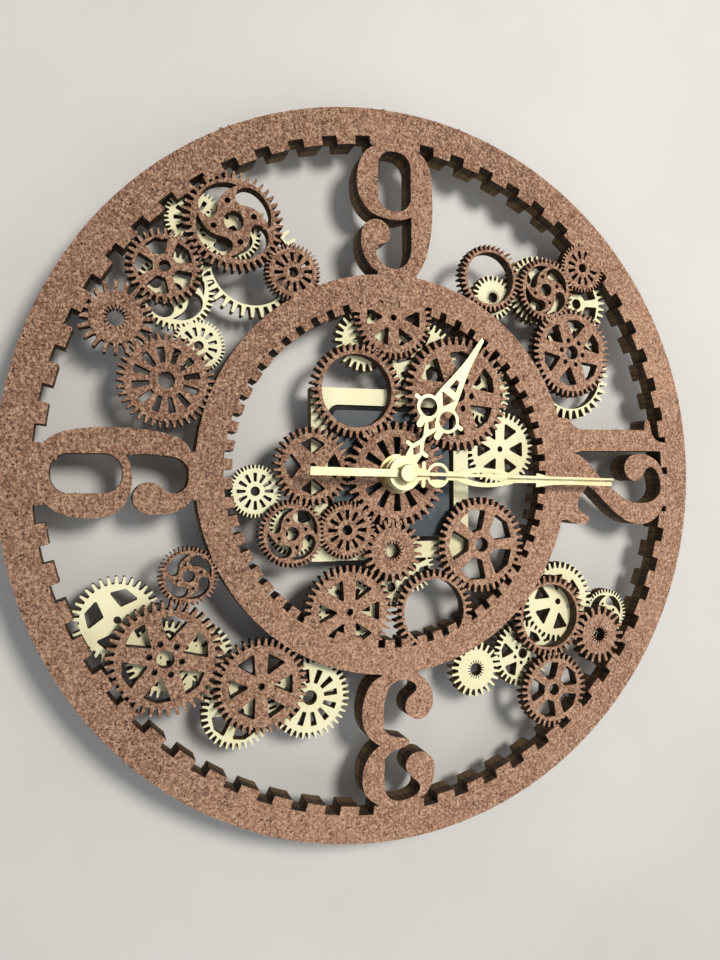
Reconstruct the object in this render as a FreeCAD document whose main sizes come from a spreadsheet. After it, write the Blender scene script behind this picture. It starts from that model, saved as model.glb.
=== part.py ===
import FreeCAD, Part
import math
import os
import re
import Sketcher
from FreeCAD import Placement, Rotation, Vector

# Wall clock of two laser-cut boards full of gear shapes, shown lying on its back.
# +Z comes out of the dial, +Y points to 12 and +X to 3. The origin is on the hands'
# axis, in the plane of the movement's back, which is what the clock rests on.
# Values are millimetres unless the name says degrees, teeth, count or share.

SIZES = [
    ("outer_radius", 160.0),
    ("rim_root_radius", 147.9),
    ("rim_tip_radius", 144.2),
    ("rim_notch_width", 6.9),
    ("hour_ring_radius", 87.7),
    ("hour_ring_root_radius", 76.2),
    ("hour_ring_tip_radius", 72.7),
    ("hour_ring_notch_width", 3.3),
    ("notch_count", 60),
    ("front_thickness", 5.4),
    ("back_thickness", 5.4),
    ("gear_corner", 0.7),
    ("slot_corner", 0.35),
    ("least_island", 4.0),
    ("frame_width", 75.4),
    ("frame_bar", 7.4),
    ("frame_corner", 5.0),
    ("movement_width", 56.0),
    ("movement_depth", 16.0),
    ("movement_corner", 3.0),
    ("case_wall", 1.2),
    ("case_front_wall", 1.0),
    ("cover_thickness", 1.0),
    ("bay_wall", 0.8),
    ("bay_wall_low", 11.2),
    ("battery_radius", 7.1),
    ("battery_length", 49.2),
    ("battery_nub_radius", 2.6),
    ("battery_nub_height", 1.3),
    ("battery_low", 0.4),
    ("battery_back", 18.9),
    ("battery_gap", 0.4),
    ("contact_thickness", 0.4),
    ("contact_width", 9.0),
    ("contact_height", 10.0),
    ("contact_bump_radius", 2.0),
    ("spring_radius", 4.2),
    ("bush_radius", 4.0),
    ("bush_bore_gap", 0.05),
    ("bush_rise", 4.2),
    ("bush_flange_radius", 5.6),
    ("bush_flange_thickness", 0.8),
    ("fixing_gap", 0.05),
    ("running_gap", 0.05),
    ("washer_radius", 8.6),
    ("washer_thickness", 0.8),
    ("nut_width", 12.0),
    ("nut_thickness", 2.4),
    ("hour_tube_radius", 2.5),
    ("minute_tube_radius", 1.6),
    ("second_arbor_radius", 0.7),
    ("hour_hand_rise", 5.2),
    ("minute_hand_rise", 8.0),
    ("second_hand_rise", 10.2),
    ("hand_thickness", 0.7),
    ("hand_collar_wall", 1.1),
    ("hand_collar_height", 0.8),
    ("tube_end", 0.2),
    ("cap_radius", 3.9),
    ("cap_height", 2.7),
    ("cap_round", 0.6),
    ("hour_hand_degrees", 303.3),
    ("minute_hand_degrees", 2.6),
    ("second_hand_degrees", 1.5),
    ("first_wheel_low", 5.4),
    ("level_step", 1.5),
    ("wheel_thickness", 0.7),
    ("pinion_drop", 0.15),
    ("pinion_height", 1.0),
    ("clutch_radius", 2.2),
    ("clutch_thickness", 0.4),
    ("clutch_gap", 0.1),
    ("setting_reach", 10.2),
    ("third_reach", 9.6),
    ("intermediate_reach", 9.0),
    ("rotor_reach", 6.3),
    ("third_degrees", 20.0),
    ("intermediate_degrees", 100.0),
    ("rotor_degrees", 60.0),
    ("hour_wheel_teeth", 40),
    ("setting_pinion_teeth", 10),
    ("setting_wheel_teeth", 36),
    ("minute_pinion_teeth", 12),
    ("centre_wheel_teeth", 60),
    ("third_pinion_teeth", 8),
    ("third_wheel_teeth", 64),
    ("second_pinion_teeth", 8),
    ("second_wheel_teeth", 60),
    ("intermediate_pinion_teeth", 12),
    ("intermediate_wheel_teeth", 36),
    ("rotor_pinion_teeth", 6),
    ("setting_arbor_radius", 1.0),
    ("small_arbor_radius", 0.6),
    ("rotor_arbor_radius", 0.35),
    ("socket_wall", 0.65),
    ("socket_depth", 1.2),
    ("socket_floor", 0.4),
    ("socket_end", 0.2),
    ("second_socket_depth", 2.0),
    ("setting_socket_depth", 0.6),
    ("knob_radius", 4.2),
    ("knob_height", 2.2),
    ("knob_recess", 0.4),
    ("knob_face", 0.8),
    ("knob_rib_depth", 0.4),
    ("knob_rib_width", 0.5),
    ("knob_rib_count", 24),
    ("cup_gap", 0.6),
    ("cup_wall", 0.8),
    ("cup_floor", 0.8),
    ("magnet_radius", 3.0),
    ("magnet_low", 2.6),
    ("magnet_height", 2.2),
    ("stator_low", 3.4),
    ("stator_thickness", 0.8),
    ("stator_air_gap", 0.4),
    ("stator_rim", 1.4),
    ("stator_arm", 3.0),
    ("stator_left", 24.0),
    ("stator_inner", 4.0),
    ("coil_up", 22.0),
    ("core_width", 2.0),
    ("core_gap", 0.1),
    ("bobbin_left", 20.0),
    ("bobbin_length", 14.0),
    ("bobbin_wall", 0.7),
    ("bobbin_flange_radius", 2.6),
    ("barrel_radius", 1.6),
    ("winding_radius", 2.3),
    ("board_left", 9.0),
    ("board_bottom", 10.0),
    ("board_length", 15.0),
    ("board_width", 14.0),
    ("board_thickness", 1.0),
    ("board_low", 2.0),
    ("chip_size", 4.0),
    ("chip_height", 1.0),
    ("rest_radius", 1.2),
    ("hanger_width", 18.0),
    ("hanger_rise", 13.0),
    ("hanger_thickness", 1.5),
    ("hanger_gap", 6.1),
    ("hanger_foot", 7.0),
    ("hanger_hole_radius", 3.0),
    ("hanger_hole_edge", 6.0),
    ("cut_overrun", 1.0),
]

document = FreeCAD.newDocument("wooden_gear_clock")
sheet = document.addObject("Spreadsheet::Sheet", "sizes")
for row, (alias, value) in enumerate(SIZES, start=1):
    sheet.set(f"A{row}", str(value))
    sheet.setAlias(f"A{row}", alias)
document.recompute()

nodes = []


def size(expression):
    """The present value of a formula in the sheet's words."""
    return float(sheet.evalExpression(expression))


def bind(item, formulas):
    """Tie properties of an object to formulas in the sheet's words."""
    for name, formula in formulas.items():
        item.setExpression(name, with_sheet(formula))


def with_sheet(formula):
    """The same formula as another object has to write it."""
    aliases = {alias for alias, value in SIZES}
    return re.sub(r"\w+", lambda word: ("sizes." if word[0] in aliases else "") + word[0], formula)


def place(item, x="0", y="0", z="0"):
    """Tie an object's place to formulas."""
    bind(item, {".Placement.Base.x": x, ".Placement.Base.y": y, ".Placement.Base.z": z})
    return item


def node(item, label):
    """Give a finished sub-part its name and keep it for the output."""
    item.Label = label
    nodes.append(item)
    return item


# Flat outlines: all are drawn at height zero and extruded later.

def polar(radius, degrees, centre=(0, 0)):
    angle = math.radians(degrees)
    return Vector(centre[0] + radius * math.cos(angle), centre[1] + radius * math.sin(angle), 0)


def disc(radius, centre=(0, 0)):
    return Part.Face(Part.Wire(Part.makeCircle(radius, Vector(centre[0], centre[1], 0))))


def polygon(points):
    return Part.Face(Part.makePolygon([Vector(x, y, 0) for x, y in points] + [Vector(*points[0], 0)]))


def rounded(points, corner):
    """A face with straight sides whose corners are arcs of one radius."""
    corners = [Vector(x, y, 0) for x, y in points]
    edges = []
    arcs = []
    for before, here, after in zip(corners[-1:] + corners[:-1], corners, corners[1:] + corners[:1]):
        inward = (before - here).normalize()
        outward = (after - here).normalize()
        half = inward.getAngle(outward) / 2
        reach = corner / math.tan(half)
        middle = here + (inward + outward).normalize() * (corner / math.sin(half) - corner)
        arcs.append((here + inward * reach, middle, here + outward * reach))
    for arc, following in zip(arcs, arcs[1:] + arcs[:1]):
        edges.append(Part.Arc(*arc).toShape())
        edges.append(Part.LineSegment(arc[2], following[0]).toShape())
    return Part.Face(Part.Wire(edges))


def outline(runs, scale):
    """A face whose edge is made of runs: two points are a line, more are a curve."""
    edges = []
    for run in runs:
        points = [Vector(x, y, 0) * scale for x, y in run]
        if len(points) == 2:
            edges.append(Part.LineSegment(*points).toShape())
        else:
            curve = Part.BSplineCurve()
            curve.interpolate(points)
            edges.append(curve.toShape())
    return Part.Face(Part.Wire(edges))


def joined(shapes):
    """One flat shape from overlapping faces, merged as slabs and laid flat again."""
    depth = size("front_thickness")
    slabs = [face.extrude(Vector(0, 0, depth)) for shape in shapes for face in shape.Faces]
    if len(slabs) > 1:
        slabs = [slabs[0].multiFuse(slabs[1:]).removeSplitter()]
    return Part.makeCompound([face for face in slabs[0].Faces if face.BoundBox.ZMax < depth / 2])


def within(shape, zone):
    """What a flat shape has inside a zone."""
    return Part.makeCompound([piece for face in shape.Faces for piece in face.common(zone.Faces[0]).Faces])


def without(shape, cuts):
    """A flat shape less the faces that are cut out of it."""
    tools = [face for cut in cuts for face in cut.Faces]
    return Part.makeCompound([piece for face in shape.Faces for piece in face.cut(tools).Faces])


def notched_disc(root, tip, notch_width, count):
    """The opening of a ring whose inner edge has square notches out to root."""
    pitch = 360 / count
    edges = []
    root_half = math.degrees(math.asin(notch_width / 2 / root))
    tip_half = math.degrees(math.asin(notch_width / 2 / tip))
    for k in range(count):
        middle = k * pitch
        a = polar(tip, middle - tip_half)
        b = polar(root, middle - root_half)
        c = polar(root, middle + root_half)
        d = polar(tip, middle + tip_half)
        e = polar(tip, middle + pitch / 2)
        f = polar(tip, middle + pitch - tip_half)
        edges.append(Part.LineSegment(a, b).toShape())
        edges.append(Part.Arc(b, polar(root, middle), c).toShape())
        edges.append(Part.LineSegment(c, d).toShape())
        edges.append(Part.Arc(d, e, f).toShape())
    return Part.Face(Part.Wire(edges))


# Laser-cut gears. Every figure is a share of the gear's own tip radius.

ROOT_HALF_SHARE = 0.29
TIP_HALF_SHARE = 0.15
SHOULDER_SHARE = 0.25
DEPTH_PER_PITCH_SHARE = 0.95


def toothed_disc(tip, teeth, centre=(0, 0), turn=0.0, depth=None, root_half=ROOT_HALF_SHARE,
                 tip_half=TIP_HALF_SHARE):
    """A gear blank with flat roots, straight flanks and round tips."""
    pitch = 360 / teeth
    if depth is None:
        depth = DEPTH_PER_PITCH_SHARE * 2 * math.pi * tip / teeth
    root = tip - depth
    shoulder = tip - SHOULDER_SHARE * depth
    edges = []
    for k in range(teeth):
        middle = turn + k * pitch
        a = polar(root, middle - root_half * pitch, centre)
        b = polar(shoulder, middle - tip_half * pitch, centre)
        c = polar(tip, middle, centre)
        d = polar(shoulder, middle + tip_half * pitch, centre)
        e = polar(root, middle + root_half * pitch, centre)
        f = polar(root, middle + pitch - root_half * pitch, centre)
        edges.append(Part.LineSegment(a, b).toShape())
        edges.append(Part.Arc(b, c, d).toShape())
        edges.append(Part.LineSegment(d, e).toShape())
        edges.append(Part.LineSegment(e, f).toShape())
    return Part.Face(Part.Wire(edges))


def window(tip, centre, middle, corner_shares, corner):
    """A straight-sided window; each corner is a radius share and degrees from its middle."""
    points = [polar(share * tip, middle + degrees, centre) for share, degrees in corner_shares]
    return rounded([(p.x, p.y) for p in points], corner)


def windows_of(count, turn, corner_shares):
    """A function that cuts the same window all the way round a gear."""
    def make(tip, centre, start, corner):
        return [window(tip, centre, start + turn + k * 360 / count, corner_shares, corner)
                for k in range(count)]
    return make


def holes_of(count, turn, reach_share, radius_share):
    """A function that drills a circle of round holes in a gear."""
    def make(tip, centre, start, corner):
        places = [polar(reach_share * tip, start + turn + k * 360 / count, centre)
                  for k in range(count)]
        return [disc(radius_share * tip, (p.x, p.y)) for p in places]
    return make


COMMA_SHARES = [(0.43, 176), (0.62, 173), (0.74, 161), (0.80, 130), (0.78, 108), (0.72, 84)]
COMMA_BACK_SHARES = [(0.72, 84), (0.63, 99), (0.54, 117), (0.45, 134), (0.37, 158), (0.43, 176)]


def commas(tip, centre, start, corner):
    """The four curved drops of a swirl gear."""
    faces = []
    for k in range(4):
        edges = []
        for run in (COMMA_SHARES, COMMA_BACK_SHARES):
            curve = Part.BSplineCurve()
            curve.interpolate([polar(share * tip, degrees + start + k * 90, centre)
                               for share, degrees in run])
            edges.append(curve.toShape())
        faces.append(Part.Face(Part.Wire(edges)))
    return faces


TOOTHED_HOLE_SHARE = 0.34


def toothed_hole(tip, centre, start, corner):
    return [toothed_disc(TOOTHED_HOLE_SHARE * tip, 18, centre, start)]


SLOT_SHARES = [(0.36, -8), (0.70, -6.5), (0.70, 6.5), (0.36, 8)]
SIX_WINDOW_SHARES = [(0.30, 0), (0.73, -20), (0.76, 0), (0.73, 20)]
FIVE_WINDOW_SHARES = [(0.32, -20), (0.73, -26), (0.77, 0), (0.73, 26), (0.32, 20)]
FOUR_WINDOW_SHARES = [(0.30, 0), (0.66, -31), (0.74, 0), (0.66, 31)]
TRIANGLE_SHARES = [(0.24, 0), (0.71, -18), (0.71, 18)]
SMALL_HOLE_SHARES = {"swirl": (0.42, 0.06), "six": (0.28, 0.055)}
HUB_HOLE_SHARES = {"slots": 0.18, "swirl": 0.2, "six": 0.155, "five": 0.155, "four": 0.085,
                   "triangles": 0.078, "ring": 0.775}


def hub_hole(kind):
    return holes_of(1, 0, 0, HUB_HOLE_SHARES[kind])


WINDOWS = {
    "slots": [windows_of(12, 0, SLOT_SHARES), hub_hole("slots")],
    "swirl": [commas, holes_of(4, 18, *SMALL_HOLE_SHARES["swirl"]), hub_hole("swirl")],
    "six": [windows_of(6, 0, SIX_WINDOW_SHARES), holes_of(6, 30, *SMALL_HOLE_SHARES["six"]),
            hub_hole("six")],
    "five": [windows_of(5, 0, FIVE_WINDOW_SHARES), hub_hole("five")],
    "four": [windows_of(4, 0, FOUR_WINDOW_SHARES), hub_hole("four")],
    "triangles": [windows_of(6, 0, TRIANGLE_SHARES), hub_hole("triangles")],
    "ring": [hub_hole("ring")],
    "toothed_hole": [toothed_hole],
}

# Gears of each board: centre across and up and tip radius, as shares of the outer radius,
# then teeth, window kind and the turn of the windows in degrees.

FRONT_SHARES = {
    "upper_left": [
        (-0.625, 0.612, 0.075, 40, "slots", 15),
        (-0.548, 0.483, 0.094, 38, "swirl", 0),
        (-0.366, 0.572, 0.134, 44, "six", 50),
        (-0.566, 0.295, 0.097, 38, "ring", 0),
    ],
    "upper_right": [
        (0.487, 0.662, 0.086, 20, "toothed_hole", 0),
        (0.420, 0.488, 0.120, 36, "ring", 0),
        (0.639, 0.500, 0.110, 36, "five", 50),
    ],
    "lower_left": [
        (-0.530, -0.291, 0.075, 40, "slots", 5),
        (-0.646, -0.447, 0.129, 40, "swirl", 0),
        (-0.515, -0.619, 0.095, 32, "five", 55),
        (-0.232, -0.616, 0.119, 40, "slots", 10),
        (-0.380, -0.735, 0.091, 20, "toothed_hole", 0),
    ],
    "lower_right": [
        (0.547, -0.381, 0.123, 40, "triangles", 30),
        (0.458, -0.620, 0.143, 40, "six", 48),
        (0.256, -0.563, 0.075, 40, "swirl", 0),
    ],
    "centre": [
        (0.0, 0.0, 0.147, 36, "slots", 0),
        (-0.228, 0.186, 0.162, 42, "six", 52),
        (-0.225, -0.115, 0.129, 40, "ring", 0),
        (-0.430, -0.008, 0.115, 40, "triangles", 30),
        (0.202, 0.260, 0.136, 40, "five", 54),
        (0.385, 0.110, 0.118, 36, "ring", 0),
        (0.211, -0.013, 0.087, 22, "toothed_hole", 0),
        (0.371, -0.140, 0.126, 40, "triangles", 30),
        (0.151, -0.145, 0.079, 40, "slots", 0),
        (-0.020, -0.240, 0.106, 34, "four", 0),
        (0.157, -0.297, 0.090, 42, "swirl", 0),
    ],
}

BACK_SHARES = {
    "upper_left": [
        (-0.523, 0.613, 0.102, 30, "five", 60),
        (-0.306, 0.589, 0.137, 32, "ring", 0),
        (-0.555, 0.472, 0.102, 34, "five", 20),
        (-0.520, 0.322, 0.066, 24, "toothed_hole", 0),
    ],
    "upper_right": [
        (0.432, 0.710, 0.076, 40, "swirl", 0),
        (0.385, 0.538, 0.120, 38, "triangles", 5),
        (0.532, 0.414, 0.097, 32, "six", 18),
        (0.566, 0.258, 0.079, 22, "toothed_hole", 0),
    ],
    "lower_left": [
        (-0.550, -0.393, 0.140, 32, "ring", 0),
        (-0.464, -0.591, 0.099, 40, "swirl", 0),
        (-0.328, -0.532, 0.068, 40, "slots", 15),
        (-0.652, -0.541, 0.077, 40, "slots", 0),
        (-0.632, -0.449, 0.081, 36, "swirl", 0),
    ],
    "lower_right": [
        (0.598, -0.242, 0.110, 38, "slots", 8),
        (0.617, -0.434, 0.096, 34, "five", 12),
        (0.359, -0.732, 0.107, 34, "four", 75),
        (0.465, -0.617, 0.096, 34, "five", 30),
        (0.475, -0.545, 0.101, 34, "slots", 0),
    ],
    "centre": [
        (-0.074, 0.342, 0.111, 38, "triangles", 30),
        (-0.240, 0.289, 0.087, 32, "five", 0),
        (-0.326, 0.091, 0.108, 34, "five", 40),
        (-0.367, -0.083, 0.084, 24, "toothed_hole", 0),
        (0.264, 0.060, 0.067, 26, "five", 0),
        (0.315, -0.006, 0.057, 22, "toothed_hole", 0),
        (0.371, -0.134, 0.093, 34, "slots", 0),
        (0.147, -0.281, 0.072, 34, "five", 0),
    ],
    "foot": [
        (0.045, -0.388, 0.070, 40, "slots", 0),
    ],
}


def gear(scale, share_row):
    across, up, tip_share, teeth, kind, turn = share_row
    centre = (across * scale, up * scale)
    tip = tip_share * scale
    blank = toothed_disc(tip, teeth, centre, turn)
    corner = size("slot_corner" if kind == "slots" else "gear_corner")
    cuts = [face for make in WINDOWS[kind] for face in make(tip, centre, turn, corner)]
    return without(blank, cuts)


# Numerals, as shares of the outer radius. Each run starts where the one before it ends.

TWELVE_ONE_SHARES = [
    [(-0.10, 0.93), (-0.10, 0.905)],
    [(-0.10, 0.905), (-0.106, 0.885), (-0.12, 0.87), (-0.14, 0.862), (-0.163, 0.857)],
    [(-0.163, 0.857), (-0.169, 0.849), (-0.165, 0.84)],
    [(-0.165, 0.84), (-0.138, 0.836)],
    [(-0.138, 0.836), (-0.135, 0.61)],
    [(-0.135, 0.61), (-0.141, 0.585), (-0.155, 0.565), (-0.168, 0.553)],
    [(-0.168, 0.553), (-0.168, 0.50)],
    [(-0.168, 0.50), (-0.05, 0.50)],
    [(-0.05, 0.50), (-0.06, 0.565)],
    [(-0.06, 0.565), (-0.066, 0.585), (-0.07, 0.61)],
    [(-0.07, 0.61), (-0.073, 0.93)],
    [(-0.073, 0.93), (-0.10, 0.93)],
]
TWELVE_TWO_SHARES = [
    [(0.0, 0.93), (0.0, 0.908)],
    [(0.0, 0.908), (-0.028, 0.895), (-0.05, 0.87), (-0.061, 0.84), (-0.062, 0.805),
     (-0.052, 0.777), (-0.03, 0.762), (-0.005, 0.763), (0.014, 0.778), (0.02, 0.80),
     (0.012, 0.822), (-0.004, 0.834), (-0.018, 0.845), (-0.022, 0.865), (-0.008, 0.884),
     (0.02, 0.896), (0.05, 0.897), (0.075, 0.88), (0.088, 0.85), (0.09, 0.81),
     (0.083, 0.775), (0.06, 0.735), (0.035, 0.70), (0.0, 0.66), (-0.035, 0.625),
     (-0.055, 0.597), (-0.062, 0.57)],
    [(-0.062, 0.57), (-0.062, 0.50)],
    [(-0.062, 0.50), (0.137, 0.50)],
    [(0.137, 0.50), (0.137, 0.548)],
    [(0.137, 0.548), (0.147, 0.575), (0.151, 0.603), (0.147, 0.622), (0.136, 0.629),
     (0.125, 0.622), (0.115, 0.602), (0.10, 0.588), (0.08, 0.59), (0.058, 0.605),
     (0.035, 0.622)],
    [(0.035, 0.622), (0.06, 0.66), (0.10, 0.703), (0.135, 0.75), (0.152, 0.79),
     (0.155, 0.825), (0.147, 0.86), (0.125, 0.89), (0.10, 0.906)],
    [(0.10, 0.906), (0.10, 0.93)],
    [(0.10, 0.93), (0.0, 0.93)],
]
THREE_SHARES = [
    [(0.53, -0.05), (0.552, -0.05)],
    [(0.552, -0.05), (0.575, -0.084), (0.61, -0.1), (0.65, -0.106), (0.69, -0.099),
     (0.718, -0.081), (0.738, -0.053)],
    [(0.738, -0.053), (0.76, -0.083), (0.79, -0.1), (0.825, -0.106), (0.86, -0.1),
     (0.883, -0.082), (0.90, -0.052)],
    [(0.90, -0.052), (0.93, -0.052)],
    [(0.93, -0.052), (0.93, 0.062)],
    [(0.93, 0.062), (0.898, 0.062)],
    [(0.898, 0.062), (0.885, 0.08), (0.865, 0.096), (0.835, 0.106), (0.81, 0.107),
     (0.786, 0.096), (0.77, 0.073), (0.769, 0.05), (0.78, 0.03), (0.803, 0.021),
     (0.825, 0.03), (0.84, 0.045), (0.852, 0.058), (0.868, 0.063), (0.881, 0.056),
     (0.891, 0.034), (0.895, 0.01), (0.89, -0.018), (0.873, -0.036), (0.845, -0.043)],
    [(0.845, -0.043), (0.79, -0.042)],
    [(0.79, -0.042), (0.765, -0.03), (0.756, -0.012), (0.75, 0.012), (0.743, 0.028),
     (0.734, 0.031), (0.727, 0.022), (0.722, 0.0), (0.714, -0.024), (0.70, -0.04),
     (0.68, -0.044)],
    [(0.68, -0.044), (0.63, -0.043)],
    [(0.63, -0.043), (0.60, -0.035), (0.578, -0.022), (0.567, 0.0), (0.567, 0.022),
     (0.576, 0.045), (0.59, 0.055), (0.602, 0.048), (0.615, 0.031), (0.637, 0.021),
     (0.658, 0.025), (0.674, 0.043), (0.678, 0.068), (0.665, 0.09), (0.64, 0.103),
     (0.61, 0.102), (0.585, 0.092), (0.565, 0.075), (0.553, 0.058)],
    [(0.553, 0.058), (0.53, 0.058)],
    [(0.53, 0.058), (0.53, -0.05)],
]
SIX_SHARES = [
    [(-0.055, -0.54), (-0.055, -0.556)],
    [(-0.055, -0.556), (-0.08, -0.575), (-0.096, -0.605), (-0.106, -0.645), (-0.111, -0.70),
     (-0.112, -0.76), (-0.109, -0.81), (-0.10, -0.855), (-0.086, -0.884), (-0.068, -0.902)],
    [(-0.068, -0.902), (-0.068, -0.93)],
    [(-0.068, -0.93), (0.06, -0.93)],
    [(0.06, -0.93), (0.06, -0.902)],
    [(0.06, -0.902), (0.083, -0.88), (0.099, -0.85), (0.107, -0.81), (0.105, -0.765),
     (0.094, -0.735), (0.075, -0.716), (0.045, -0.703), (0.01, -0.698), (-0.022, -0.702),
     (-0.047, -0.714)],
    [(-0.047, -0.714), (-0.048, -0.66)],
    [(-0.048, -0.66), (-0.044, -0.61), (-0.034, -0.58), (-0.015, -0.564), (0.008, -0.562),
     (0.032, -0.568), (0.047, -0.587), (0.048, -0.607), (0.036, -0.625), (0.024, -0.645),
     (0.022, -0.667), (0.034, -0.687), (0.058, -0.697), (0.083, -0.689), (0.098, -0.668),
     (0.10, -0.635), (0.096, -0.60), (0.084, -0.575), (0.066, -0.556)],
    [(0.066, -0.556), (0.066, -0.54)],
    [(0.066, -0.54), (-0.055, -0.54)],
]
NINE_SHARES = [
    [(-0.53, 0.062), (-0.553, 0.062)],
    [(-0.553, 0.062), (-0.575, 0.078), (-0.61, 0.093), (-0.66, 0.105), (-0.72, 0.111),
     (-0.78, 0.111), (-0.83, 0.108), (-0.86, 0.101), (-0.885, 0.084), (-0.90, 0.054)],
    [(-0.90, 0.054), (-0.93, 0.054)],
    [(-0.93, 0.054), (-0.93, -0.055)],
    [(-0.93, -0.055), (-0.90, -0.055)],
    [(-0.90, -0.055), (-0.888, -0.078), (-0.865, -0.097), (-0.835, -0.109), (-0.80, -0.113),
     (-0.765, -0.109), (-0.735, -0.094), (-0.713, -0.07), (-0.703, -0.038), (-0.70, -0.005),
     (-0.704, 0.025), (-0.714, 0.047)],
    [(-0.714, 0.047), (-0.64, 0.047)],
    [(-0.64, 0.047), (-0.60, 0.042), (-0.576, 0.026), (-0.565, 0.0), (-0.568, -0.025),
     (-0.58, -0.045), (-0.596, -0.056), (-0.613, -0.058), (-0.626, -0.05), (-0.634, -0.032),
     (-0.645, -0.019), (-0.662, -0.016), (-0.683, -0.025), (-0.696, -0.048), (-0.693, -0.072),
     (-0.678, -0.091), (-0.652, -0.101), (-0.62, -0.1), (-0.59, -0.09), (-0.568, -0.074),
     (-0.554, -0.054)],
    [(-0.554, -0.054), (-0.53, -0.054)],
    [(-0.53, -0.054), (-0.53, 0.062)],
]
COUNTER_CORNER_SHARE = 0.043
NINE_COUNTER_SHARES = [(-0.889, -0.052), (-0.724, -0.052), (-0.724, 0.046), (-0.889, 0.046)]
SIX_COUNTER_SHARES = [(-0.049, -0.885), (0.047, -0.885), (0.047, -0.72), (-0.049, -0.72)]


def counter(corner_shares, scale):
    """The oval hole of a numeral."""
    return rounded([(x * scale, y * scale) for x, y in corner_shares], COUNTER_CORNER_SHARE * scale)


def numeral_faces(scale):
    one = outline(TWELVE_ONE_SHARES, scale)
    two = outline(TWELVE_TWO_SHARES, scale)
    return {
        "numeral_12": joined([one, two]),
        "numeral_3": outline(THREE_SHARES, scale),
        "numeral_6": without(outline(SIX_SHARES, scale), [counter(SIX_COUNTER_SHARES, scale)]),
        "numeral_9": without(outline(NINE_SHARES, scale), [counter(NINE_COUNTER_SHARES, scale)]),
    }


def whole(shape):
    """A flat shape without the loose slivers between crossing teeth."""
    least = size("least_island") ** 2
    return Part.makeCompound([face for face in shape.Faces if face.Area > least])


def board_faces(gear_shares, numerals, bush_hole):
    """The outlines of one board, split where gears and numerals meet the two rings."""
    scale = size("outer_radius")
    rim_tip = size("rim_tip_radius")
    ring_outer = size("hour_ring_radius")
    ring_tip = size("hour_ring_tip_radius")
    count = int(size("notch_count"))
    rim_hole = notched_disc(size("rim_root_radius"), rim_tip, size("rim_notch_width"), count)
    ring_hole = notched_disc(size("hour_ring_root_radius"), ring_tip,
                             size("hour_ring_notch_width"), count)
    rim_band = without(disc(scale), [disc(rim_tip)])
    ring_band = without(disc(ring_outer), [disc(ring_tip)])
    between = without(disc(rim_tip), [disc(ring_outer)])
    clusters = {name: joined([gear(scale, row) for row in rows])
                for name, rows in gear_shares.items()}
    everything = list(numerals.values()) + list(clusters.values())
    rim = [without(disc(scale), [rim_hole])] + [within(shape, rim_band) for shape in everything]
    ring = [without(disc(ring_outer), [ring_hole])] + [within(shape, ring_band) for shape in everything]
    faces = {"outer_ring": joined(rim), "inner_ring": joined(ring)}
    for name, shape in numerals.items():
        faces[name] = within(shape, between)
    for name, shape in clusters.items():
        inside = name in ("centre", "foot")
        faces[f"gears_{name}"] = within(shape, disc(ring_tip) if inside else between)
    if bush_hole:
        bush_cut = disc(size("bush_radius + fixing_gap"))
        faces["gears_centre"] = without(joined([faces["gears_centre"], bush_cut]), [bush_cut])
    return {name: whole(shape) for name, shape in faces.items()}


def board_node(label, face, low, thickness):
    """Extrude one outline of a board between two heights."""
    drawing = document.addObject("Part::Feature", f"{label}_outline")
    drawing.Shape = face
    panel = document.addObject("Part::Extrusion", f"{label}_panel")
    panel.Base = drawing
    panel.DirMode = "Custom"
    panel.Dir = Vector(0, 0, 1)
    panel.Solid = True
    bind(panel, {"LengthFwd": thickness})
    place(panel, z=low)
    return node(panel, label)


BACK_LOW = "movement_depth - back_thickness"
FRONT_LOW = "movement_depth"
DIAL = "movement_depth + front_thickness"

numerals = numeral_faces(size("outer_radius"))
for name, face in board_faces(FRONT_SHARES, numerals, True).items():
    board_node(f"front_{name}", face, FRONT_LOW, "front_thickness")

# The gold frame stands in the back board, so its gears stop at the frame's edge.
half_frame = size("frame_width") / 2
frame_opening = half_frame - size("frame_bar")
frame_outer = rounded([(-half_frame, -half_frame), (half_frame, -half_frame),
                       (half_frame, half_frame), (-half_frame, half_frame)], size("gear_corner"))
frame_inner = rounded([(-frame_opening, -frame_opening), (frame_opening, -frame_opening),
                       (frame_opening, frame_opening), (-frame_opening, frame_opening)],
                      size("frame_corner"))
for name, face in board_faces(BACK_SHARES, numerals, False).items():
    if name == "gears_centre":
        board_node("back_movement_frame", without(frame_outer, [frame_inner]), BACK_LOW, "back_thickness")
        face = whole(without(face, [frame_outer]))
    board_node(f"back_{name}", face, BACK_LOW, "back_thickness")


# Solid pieces: each helper ties every size and place to the sheet.

def cylinder(name, radius, low, height, x="0", y="0"):
    item = document.addObject("Part::Cylinder", name)
    bind(item, {"Radius": radius, "Height": height})
    return place(item, x, y, low)


def lying_cylinder(name, radius, left, length, y, z):
    """A round bar along X."""
    item = document.addObject("Part::Cylinder", name)
    bind(item, {"Radius": radius, "Height": length})
    item.Placement = Placement(Vector(), Rotation(Vector(0, 1, 0), 90))
    return place(item, left, y, z)


def block(name, left, front, low, length, width, height):
    item = document.addObject("Part::Box", name)
    bind(item, {"Length": length, "Width": width, "Height": height})
    return place(item, left, front, low)


def plate(name, face, low, thickness, x="0", y="0"):
    """An outline extruded upward from a height."""
    drawing = document.addObject("Part::Feature", f"{name}_outline")
    drawing.Shape = face
    item = document.addObject("Part::Extrusion", name)
    item.Base = drawing
    item.DirMode = "Custom"
    item.Dir = Vector(0, 0, 1)
    item.Solid = True
    bind(item, {"LengthFwd": thickness})
    return place(item, x, y, low)


def fused(name, items):
    item = document.addObject("Part::MultiFuse", name)
    item.Shapes = items
    item.Refine = True
    return item


def cut(name, base, tools):
    item = document.addObject("Part::Cut", name)
    item.Base = base
    item.Tool = tools[0] if len(tools) == 1 else fused(f"{name}_tools", tools)
    item.Refine = True
    return item


# Pieces made from drawings on a level plane of their own body.

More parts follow.
